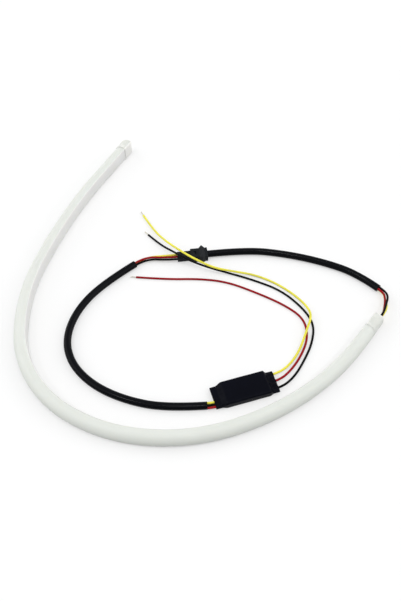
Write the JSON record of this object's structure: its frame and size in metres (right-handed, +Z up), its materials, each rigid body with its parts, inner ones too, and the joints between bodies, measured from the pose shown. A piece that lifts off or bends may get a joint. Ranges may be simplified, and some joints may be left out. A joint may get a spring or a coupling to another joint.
{
  "type": "daytime running light",
  "caption": "Flexible car daytime running light: milky silicone tube with an LED strip inside, bent in a loop, on a lead with an in-line connector and a sealed control module",
  "frame": {"origin": "on the floor under the middle of the light (sleeve, cap and boot) as it lies in its loop", "axes": "+Z up from the floor, +X to the lead end's side, +Y towards the far tip"},
  "size_m": [0.3, 0.3148, 0.0146],
  "materials": {
    "silicone": "milky satin silicone",
    "silicone_cap": "milky satin silicone",
    "strip": "white solder mask",
    "led_white": "phosphor",
    "led_amber": "amber phosphor",
    "component": "matt moulding",
    "wire_red": "satin insulation",
    "wire_yellow": "satin insulation",
    "wire_black": "satin insulation",
    "cable": "satin sheath",
    "connector": "satin moulding",
    "contact": "plated",
    "jacket": "satin heat-shrink film",
    "board": "solder mask",
    "can": "satin",
    "tinned": "tinned strands"
  },
  "bodies": {
    "root": {"light_sleeve": "silicone", "far_end_cap": "silicone_cap", "lead_end_boot": "silicone_cap", "flex_circuit": "strip", "white_leds": "led_white", "amber_leds": "led_amber", "strip_resistors": "component", "lamp_wire_red": "wire_red", "lamp_wire_yellow": "wire_yellow", "lamp_wire_black": "wire_black", "tail_cable": "cable", "connector_socket": "connector", "connector_plug": "connector", "socket_pins": "contact", "plug_terminals": "contact", "feed_wire_red": "wire_red", "feed_wire_yellow": "wire_yellow", "feed_wire_black": "wire_black", "feed_cable": "cable", "module_wire_red": "wire_red", "module_wire_yellow": "wire_yellow", "module_wire_black": "wire_black", "module_jacket": "jacket", "module_board": "board", "module_chip": "component", "module_transistors": "component", "module_capacitor": "can", "module_resistors": "component", "supply_wire_red": "wire_red", "supply_wire_yellow": "wire_yellow", "supply_wire_black": "wire_black", "bare_wire_tips": "tinned"}
  },
  "joints": []
}
